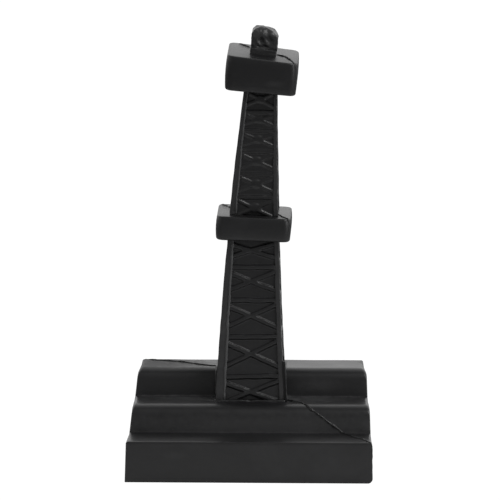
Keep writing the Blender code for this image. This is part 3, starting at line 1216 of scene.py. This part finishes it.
@dataclass
class Deck:
    """Block with rounded corners, soft rims and slightly bulging sides."""

    shop: Workshop
    bend: TowerBend
    name: str
    low: float
    high: float
    half: float
    seam: Bead
    front_seam: tuple[Point, ...]
    rear_seam: tuple[Point, ...]
    corner: float = 2.1 * MM
    top_rim: float = 0.4 * MM
    low_rim: float = 0.6 * MM
    corner_segments: int = 6
    rim_segments: int = 4
    bulge: float = 0.25 * MM
    bulge_parts: int = 5
    lift: float = 0.06 * MM
    seam_proud: float = 0.05 * MM
    seam_step: float = 0.3 * MM
    seam_parts: int = 4
    seam_stray: float = 0.22 * MM
    seam_stray_size: float = 1.2 * MM

    def _seam(self, stops: Sequence[Point]) -> list[Vector]:
        """Lay the parting line over the deck's top, and down the front right corner if it ends there.

        Args:
            stops: Plan points from the neck outwards, as (x, y) from the deck's middle.

        Returns:
            The line's points, not yet bent.
        """
        flat = [Vector((x, y, self.high + self.lift)) for x, y in stops]
        if stops[-1][1] < 0.0:
            outer = self.half - self.corner * (1.0 - math.sqrt(0.5)) + self.seam_proud
            flat += [Vector((outer, -outer, z)) for z in (self.high - self.top_rim, self.low + self.low_rim)]
        points = []
        for start, end in zip(flat, flat[1:]):
            steps = max(self.seam_parts, round((end - start).length / self.seam_step))
            for step in range(steps):
                point = start.lerp(end, step / steps)
                stray = self.seam_stray * noise.noise(point / self.seam_stray_size)
                points.append(point + Vector((stray, stray, 0.0)))
        return points

    @staticmethod
    def _lies_at(edge: bmesh.types.BMEdge, z: float) -> bool:
        """Return whether an edge is level and lies at a height."""
        return all(abs(vert.co.z - z) < LEVEL_SLACK for vert in edge.verts)

    def build(self) -> None:
        """Build the deck and its parting line."""
        bm = box(self.half, self.half, self.low, self.high)
        uprights = [edge for edge in bm.edges if abs(edge.verts[0].co.z - edge.verts[1].co.z) > MM]
        round_edges(bm, uprights, self.corner, self.corner_segments)
        for place, radius in ((self.high, self.top_rim), (self.low, self.low_rim)):
            rims = [edge for edge in bm.edges if self._lies_at(edge, place)]
            round_edges(bm, rims, radius, self.rim_segments)
        slice_across(bm, between(self.low, self.high, self.bulge_parts), 2)
        middle, reach = 0.5 * (self.low + self.high), 0.5 * (self.high - self.low)
        for vert in bm.verts:
            swell = 1.0 + self.bulge / self.half * (1.0 - ((vert.co.z - middle) / reach) ** 2)
            vert.co.x *= swell
            vert.co.y *= swell
        self.bend.apply(bm)
        self.shop.finish(f"{self.name}_block", bm, (self.name,))
        for stops, corner in ((self.front_seam, "front_right"), (self.rear_seam, "rear_left")):
            line = [self.bend.carry(point) for point in self._seam(stops)]
            self.shop.bead(f"{self.name}_parting_line_{corner}", line, self.seam)


@dataclass
class CrownBlock:
    """Rough little crown block: a plate, a domed hood and two sheaves that bulge from its pockets."""

    shop: Workshop
    bend: TowerBend
    low: float = 118.7 * MM
    shift: float = 0.15 * MM
    rough: float = 0.2 * MM
    lump_size: float = 1.3 * MM
    speck_size: float = 0.5 * MM
    speck_share: float = 0.5
    plate_half: Point = (3.75 * MM, 3.3 * MM)
    plate_height: float = 1.5 * MM
    plate_root: float = 0.5 * MM
    plate_cuts: int = 5
    plate_rough: float = 0.6
    plate_melt: Melt = Melt(0.16 * MM, 3)
    hood_half: Point = (3.75 * MM, 3.1 * MM)
    hood_height: float = 6.2 * MM
    hood_root: float = 0.3 * MM
    hood_cuts: int = 21
    hood_melt: Melt = Melt(0.14 * MM, 4)
    dome_start: float = 0.5
    dome_share: float = 0.93
    dome_power: float = 2.6
    dome_lean: float = -0.12
    dome_depth: float = 0.75
    pockets: tuple[Point, Point] = ((-0.9 * MM, 2.6 * MM), (1.35 * MM, 3.1 * MM))
    pocket_size: float = 0.8 * MM
    pocket_depth: float = 0.45 * MM
    pocket_squash: float = 0.75
    slot: Point = (-0.4 * MM, 0.95 * MM)
    slot_half: float = 0.5 * MM
    slot_squash: float = 0.28
    slot_share: float = 0.7
    sheave_size: Point3 = (0.8 * MM, 2.72 * MM, 1.0 * MM)
    sheave_segments: int = 24
    sheave_edge: float = 0.2
    sheave_edge_segments: int = 3
    sheave_drop: float = 0.5 * MM

    def _plate(self) -> None:
        """Build the plate with a ragged rim."""
        low, high = self.low - self.plate_root, self.low + self.plate_height
        bm = box(self.plate_half[0], self.plate_half[1], low, high)
        bmesh.ops.subdivide_edges(bm, edges=bm.edges[:], cuts=self.plate_cuts, use_grid_fill=True)
        self._dress("crown_block_plate", bm, self.plate_rough, self.plate_melt)

    def _hood(self) -> None:
        """Build the domed hood with two pockets in its front and two in its rear."""
        bm = bmesh.new()
        bmesh.ops.create_cube(bm, size=2.0)
        bmesh.ops.subdivide_edges(bm, edges=bm.edges[:], cuts=self.hood_cuts, use_grid_fill=True)
        for vert in bm.verts:
            vert.co = self._dome(vert.co)
        self._dress("crown_block_hood", bm, 1.0, self.hood_melt)

    def _dress(self, node: str, bm: BMesh, rough: float, melt: Melt) -> None:
        """Roughen a mesh by noise, as a porous casting's surface is, then bend, finish and melt it.

        Args:
            node: The CAD node that the piece stands for.
            bm: Its mesh.
            rough: Share of the full roughness.
            melt: How far it melts.
        """
        for vert in bm.verts:
            lump = noise.noise_vector(vert.co / self.lump_size)
            lump += self.speck_share * noise.noise_vector(vert.co / self.speck_size)
            vert.co += lump * self.rough * rough
        self.bend.apply(bm)
        # The crown block gets the lighter copy of the skin: painted light.
        self.shop.soften(self.shop.finish(f"{node}_rough", bm, (node,), SkinLook.PAINTED_LIGHT), melt)

    def _dome(self, spot: Vector) -> Vector:
        """Shape a point of a cube into the hood.

        Args:
            spot: The point, from -1 to 1 along each axis.

        Returns:
            Its place on the hood.
        """
        rise = 0.5 * (spot.z + 1.0)
        crown = max(0.0, rise - self.dome_start) / (1.0 - self.dome_start)
        narrow = math.sqrt(max(0.0, 1.0 - self.dome_share * crown**self.dome_power))
        x = spot.x * self.hood_half[0] * narrow + self.dome_lean * self.hood_half[0] * crown**2
        y = spot.y * self.hood_half[1] * mix(1.0, narrow, self.dome_depth)
        height = self.hood_height * rise
        y *= 1.0 - self._sunk(x, height) / self.hood_half[1]
        return Vector((x + self.shift, y, self.low + self.plate_height - self.hood_root + height))

    def _sunk(self, x: float, height: float) -> float:
        """Measure how deep the pockets and the slot below them are.

        Args:
            x: Place across the hood.
            height: Height above the hood's foot.

        Returns:
            The depth there.
        """
        sunk = 0.0
        for pocket_x, pocket_z in self.pockets:
            away = Vector((x - pocket_x, self.pocket_squash * (height - pocket_z))).length
            sunk += self.pocket_depth * math.exp(-((away / self.pocket_size) ** 4))
        away = Vector((self.slot_squash * (x - self.slot[0]), height - self.slot[1])).length
        return sunk + self.slot_share * self.pocket_depth * math.exp(-((away / self.slot_half) ** 4))

    def _sheave(self, pocket: Point, side: str) -> None:
        """Build one worn sheave: a disc on edge in its pocket.

        Args:
            pocket: The pocket's middle, as (x, height above the plate).
            side: "left" or "right".
        """
        bm = bmesh.new()
        bmesh.ops.create_cone(
            bm, cap_ends=True, segments=self.sheave_segments, radius1=1.0, radius2=1.0, depth=1.0
        )
        round_edges(bm, bm.edges[:], self.sheave_edge, self.sheave_edge_segments)
        bmesh.ops.rotate(bm, matrix=Matrix.Rotation(0.5 * math.pi, 3, "Y"), verts=bm.verts)
        bmesh.ops.scale(bm, vec=self.sheave_size, verts=bm.verts)
        height = self.low + self.plate_height + pocket[1] - self.sheave_drop
        bmesh.ops.translate(bm, vec=(pocket[0] + self.shift, 0.0, height), verts=bm.verts)
        self.bend.apply(bm)
        self.shop.finish(f"crown_block_sheave_{side}_worn", bm, (f"crown_block_sheave_{side}",))

    def build(self) -> None:
        """Build the crown block's four pieces."""
        self._plate()
        self._hood()
        for pocket, side in zip(self.pockets, ("left", "right")):
            self._sheave(pocket, side)


@dataclass
class TowerFoot:
    """Soft fillet where the tower's foot runs into the terraces, and the flash at its front corner."""

    shop: Workshop
    bend: TowerBend
    section: TowerSection
    base: Terraces
    tree: BVHTree
    gap: float = 0.1 * MM
    level_parts: int = 24
    climb_parts: int = 69
    fillet_bead: Bead = Bead(0.5 * MM, 0.12)
    flash_height: float = 11.7 * MM
    flash_reach: float = 0.95 * MM
    flash_root: float = 1.2 * MM
    flash_half: float = 0.17 * MM
    flash_parts: int = 26
    flash_ragged: float = 0.2
    flash_ragged_size: float = 0.9 * MM

    def _fillet(self, side: float) -> list[Vector]:
        """Follow half of the foot: across the front, back to the riser, over it and round the rear.

        Args:
            side: -1 for the left half, 1 for the right.

        Returns:
            The path's points.
        """
        tread, plateau = self.base.treads[1], self.base.treads[2]
        front, rear = self.section.half(tread) + self.gap, self.section.half(plateau)
        middle = Vector((self.bend.axis_x, self.bend.axis_y - front, tread))
        corner = middle + Vector((side * front, 0.0, 0.0))
        points = [middle.lerp(corner, step / self.level_parts) for step in range(self.level_parts)]
        start = corner.y + tread + 0.5 * self.base.depth
        end = self.bend.axis_y + rear + plateau + 0.5 * self.base.depth
        for step in range(self.climb_parts + 1):
            share = step / self.climb_parts
            x = self.bend.axis_x + side * mix(front, rear + self.gap, share)
            points.append(self.base.path_point(self.tree, x, mix(start, end, share))[0])
        last = points[-1]
        rear_middle = Vector((self.bend.axis_x, last.y, plateau))
        steps = range(1, self.level_parts + 1)
        return points + [last.lerp(rear_middle, step / self.level_parts) for step in steps]

    def _flash(self) -> None:
        """Build the ragged fin that stands out from the front right corner above the tread."""
        low = self.base.treads[1]
        high = low + self.flash_height
        bm = box(0.5, self.flash_half, low, high)
        slice_across(bm, between(low, high, self.flash_parts), 2)
        for vert in bm.verts:
            corner = self.section.half(vert.co.z) * math.sqrt(2.0)
            waver = noise.noise(Vector((0.0, 0.0, vert.co.z / self.flash_ragged_size)))
            outer = self.flash_reach * (1.0 + self.flash_ragged * waver)
            vert.co.x = corner + (outer if vert.co.x > 0.0 else -self.flash_root)
        turned(bm, -0.25 * math.pi)
        self.bend.apply(bm)
        self.shop.finish("tower_flash_front_right", bm)

    def build(self) -> None:
        """Build the fillet's two halves and the flash."""
        for side, name in ((-1.0, "left"), (1.0, "right")):
            self.shop.bead(f"tower_foot_fillet_{name}", self._fillet(side), self.fillet_bead)
        self._flash()


@dataclass(frozen=True)
class Lamp:
    """A soft rectangular light: its name, place, width and height, and power in watts."""

    name: str
    place: Point3
    size: Point
    power: float


@dataclass(frozen=True)
class Studio:
    """Camera, pale floor and soft light."""

    azimuth: float = 1.55
    elevation: float = 10.0
    lens: float = 432.0
    sensor: float = 36.0
    distance: float = 1.696
    view_depth: float = 20.0
    aim_right: float = -0.05 * MM
    aim_back: float = 11.4 * MM
    aim_up: float = 64.9 * MM
    room: tuple[Point, ...] = (
        (0.01, 0.26),
        (0.25, 0.34),
        (0.4, 0.14),
        (0.5, 0.2),
        (0.6, 0.5),
        (0.72, 0.95),
        (0.9, 1.0),
    )
    room_light: float = 1.1
    side_glow: float = 0.55
    white: float = 1.05
    floor_half: float = 3.0
    # Painted light on the floor, seen only in reflections and bounced light: its shade fades from near to far
    # between these distances.
    painted_light_fade: Point = (0.03, 0.3)
    painted_light_near: float = 0.95
    painted_light_far: float = 0.17
    lamp_aim: Point3 = (0.0, 0.0, 0.06)
    lamps: tuple[Lamp, ...] = (
        Lamp("key_light", (0.62, -0.5, 0.9), (0.45, 0.45), 6.0),
        Lamp("side_light", (0.95, -0.55, 0.15), (0.5, 0.7), 3.0),
    )

    def camera(self) -> None:
        """Place the camera by its angles and distance from a point above the base's front edge."""
        low, _ = CAD_BOX
        aim = Vector((self.aim_right, low[1] + self.aim_back, low[2] + self.aim_up))
        side, rise = math.radians(self.azimuth), math.radians(self.elevation)
        back = Vector((math.sin(side) * math.cos(rise), -math.cos(side) * math.cos(rise), math.sin(rise)))
        data = bpy.data.cameras.new("camera")
        data.lens = self.lens
        data.sensor_width = self.sensor
        data.clip_end = self.view_depth
        camera = add_object("camera", data)
        turn = back.to_track_quat("Z", "Y").to_matrix().to_4x4()
        camera.matrix_world = Matrix.Translation(aim + back * self.distance) @ turn
        bpy.context.scene.camera = camera

    def world(self) -> None:
        """Light the room: bright behind, dim in front, brighter to the sides, and plain white when seen."""
        world = bpy.data.worlds.new("room")
        bpy.context.scene.world = world
        world.use_nodes = True
        graph = NodeGraph(world.node_tree)
        direction = graph.node("ShaderNodeTexCoord", {}, {}).out("Generated")
        parts = graph.node("ShaderNodeSeparateXYZ", {}, {0: direction})
        glow = graph.node("ShaderNodeValToRGB", {"stops": self.room}, {0: parts.out("Y") * 0.5 + 0.5})
        seen = graph.node("ShaderNodeLightPath", {}, {}).out("Is Camera Ray")
        across = parts.out("X") * parts.out("X")
        room = glow.out() + across * across * self.side_glow
        strength = room * self.room_light * (1.0 - seen) + seen * self.white
        light = graph.node("ShaderNodeBackground", {}, {"Color": (1.0, 1.0, 1.0, 1.0), "Strength": strength})
        graph.node("ShaderNodeOutputWorld", {}, {"Surface": light.out()})

    def hang(self, lamp: Lamp) -> None:
        """Hang a lamp so that it faces the object.

        Args:
            lamp: The lamp.
        """
        data = bpy.data.lights.new(lamp.name, "AREA")
        data.shape = "RECTANGLE"
        data.size, data.size_y = lamp.size
        data.energy = lamp.power
        light = add_object(lamp.name, data)
        turn = (Vector(lamp.place) - Vector(self.lamp_aim)).to_track_quat("Z", "Y").to_matrix().to_4x4()
        light.matrix_world = Matrix.Translation(lamp.place) @ turn

    def _floor_with_painted_light(self) -> bpy.types.Material:
        """Make the floor's paint: painted light, bright under the object and dim further out, and plain white
        to the camera.

        Returns:
            The new material.
        """
        material = bpy.data.materials.new("floor_painted_light")
        material.use_nodes = True
        graph = NodeGraph(material.node_tree)
        place = graph.node("ShaderNodeTexCoord", {}, {}).out("Object")
        reach = graph.node("ShaderNodeVectorMath", {"operation": "LENGTH"}, {0: place}).out("Value")
        # Painted light: the floor's shade runs from bright near the object to dim further out, like a pool of
        # light that no lamp makes.
        fade = {"From Min": self.painted_light_fade[0], "From Max": self.painted_light_fade[1]}
        fade |= {"To Min": self.painted_light_near, "To Max": self.painted_light_far}
        shade = graph.node("ShaderNodeMapRange", {}, {"Value": reach, **fade}).out()
        seen = graph.node("ShaderNodeLightPath", {}, {}).out("Is Camera Ray")
        paper = graph.node("ShaderNodeBsdfDiffuse", {}, {"Color": shade})
        white = graph.node("ShaderNodeEmission", {}, {"Color": (1.0, 1.0, 1.0, 1.0), "Strength": self.white})
        surface = graph.node("ShaderNodeMixShader", {}, {0: seen, 1: paper.out(), 2: white.out()})
        graph.node("ShaderNodeOutputMaterial", {}, {"Surface": surface.out()})
        return material

    def floor(self) -> None:
        """Lay a plain pale floor."""
        bm = bmesh.new()
        bmesh.ops.create_grid(bm, x_segments=1, y_segments=1, size=self.floor_half)
        mesh = bpy.data.meshes.new("floor")
        bm.to_mesh(mesh)
        bm.free()
        mesh.materials.append(self._floor_with_painted_light())
        add_object("floor", mesh)

    def build(self) -> None:
        """Set up the whole studio."""
        self.camera()
        self.world()
        for lamp in self.lamps:
            self.hang(lamp)
        self.floor()
        bpy.context.scene.view_settings.view_transform = "Standard"


def four_faces(left: LegWidths, right: LegWidths, side: LegWidths) -> tuple[Face, Face, Face, Face]:
    """Name the four faces of a section.

    Args:
        left: Widths of the left leg on the front.
        right: Widths of the right leg on the front.
        side: Widths of the legs on the other faces.

    Returns:
        The front, right, rear and left faces.
    """
    front = Face("front", left, right)
    return front, Face("right", side, side), Face("rear", side, side), Face("left", side, side)


def lower_section(shop: Workshop, bend: TowerBend) -> TowerSection:
    """Describe the tower's section between the base and the middle deck.

    Args:
        shop: The workshop that makes its pieces.
        bend: The tower's bend.

    Returns:
        The section, not yet built.
    """
    left, right, side = (2.75 * MM, 1.85 * MM), (1.55 * MM, 1.25 * MM), (2.4 * MM, 1.9 * MM)
    return TowerSection(
        shop,
        bend,
        name="lower",
        low=19.3 * MM,
        high=65.7 * MM,
        half_low=9.93 * MM,
        half_high=7.3 * MM,
        faces=four_faces(LegWidths(*left), LegWidths(*right), LegWidths(*side)),
        levels=(16.2 * MM, 26.6 * MM, 38.0 * MM, 48.5 * MM, 58.0 * MM, 66.2 * MM),
        relief=Relief(
            sunk=0.72 * MM,
            brace=2.1 * MM,
            girt=2.2 * MM,
            brace_rise=0.54 * MM,
            girt_rise=0.66 * MM,
            brace_start=2.7 * MM,
            brace_end=1.5 * MM,
            brace_drop=0.9 * MM,
        ),
        ridge=0.4 * MM,
        melt=Melt(0.17 * MM, 6),
    )


def upper_section(shop: Workshop, bend: TowerBend) -> TowerSection:
    """Describe the tower's section between the two decks.

    Args:
        shop: The workshop that makes its pieces.
        bend: The tower's bend.

    Returns:
        The section, not yet built.
    """
    left, right, side = (1.9 * MM, 1.2 * MM), (1.42 * MM, 0.9 * MM), (2.0 * MM, 1.45 * MM)
    return TowerSection(
        shop,
        bend,
        name="upper",
        low=72.6 * MM,
        high=108.6 * MM,
        half_low=6.95 * MM,
        half_high=4.75 * MM,
        faces=four_faces(LegWidths(*left), LegWidths(*right), LegWidths(*side)),
        levels=(70.7 * MM, 78.1 * MM, 84.7 * MM, 91.2 * MM, 97.2 * MM, 102.6 * MM, 108.9 * MM),
        relief=Relief(
            sunk=0.5 * MM,
            brace=1.4 * MM,
            girt=1.7 * MM,
            brace_rise=0.32 * MM,
            girt_rise=0.42 * MM,
            brace_start=1.5 * MM,
            brace_end=1.05 * MM,
            brace_drop=0.3 * MM,
            gusset=0.2,
        ),
        ridge=0.28 * MM,
        melt=Melt(0.17 * MM, 8),
    )


def decks(shop: Workshop, bend: TowerBend) -> tuple[Deck, Deck]:
    """Describe the middle deck and the crown deck.

    Args:
        shop: The workshop that makes their pieces.
        bend: The tower's bend.

    Returns:
        Both decks, not yet built.
    """
    middle = Deck(
        shop,
        bend,
        name="mid_deck",
        low=65.7 * MM,
        high=72.6 * MM,
        half=10.45 * MM,
        seam=Bead(0.22 * MM, 0.4, 0.8),
        front_seam=((6.9 * MM, -3.0 * MM), (8.0 * MM, -6.5 * MM), (9.6 * MM, -9.6 * MM)),
        rear_seam=((-6.9 * MM, 4.5 * MM), (-9.9 * MM, 9.6 * MM)),
    )
    crown = Deck(
        shop,
        bend,
        name="crown_deck",
        low=108.6 * MM,
        high=118.5 * MM,
        half=10.0 * MM,
        seam=Bead(0.3 * MM, 0.4, 0.5),
        front_seam=(
            (3.8 * MM, -0.2 * MM),
            (6.3 * MM, -1.4 * MM),
            (8.2 * MM, -5.7 * MM),
            (9.1 * MM, -9.1 * MM),
        ),
        rear_seam=((-3.9 * MM, 5.6 * MM), (-5.4 * MM, 7.3 * MM), (-7.6 * MM, 9.4 * MM)),
    )
    return middle, crown


def main() -> None:
    """Build the studio and every piece."""
    logging.basicConfig(level=logging.INFO, format="%(message)s")
    # Vector noise starts from the clock unless it is seeded, and each run would differ.
    noise.seed_set(NOISE_SEED)
    Studio().build()
    shop = Workshop()
    bend = TowerBend()
    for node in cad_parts.values():
        node.data.materials.clear()
        node.data.materials.append(shop.skins[SkinLook.SATIN])
    base = Terraces(shop)
    tree = base.build()
    tower = lower_section(shop, bend)
    tower.build()
    upper_section(shop, bend).build()
    TowerFoot(shop, bend, tower, base, tree).build()
    for deck in decks(shop, bend):
        deck.build()
    CrownBlock(shop, bend).build()
    for piece in shop.made:
        LOG.info("piece: %s", piece.name)


if __name__ == "__main__":
    main()
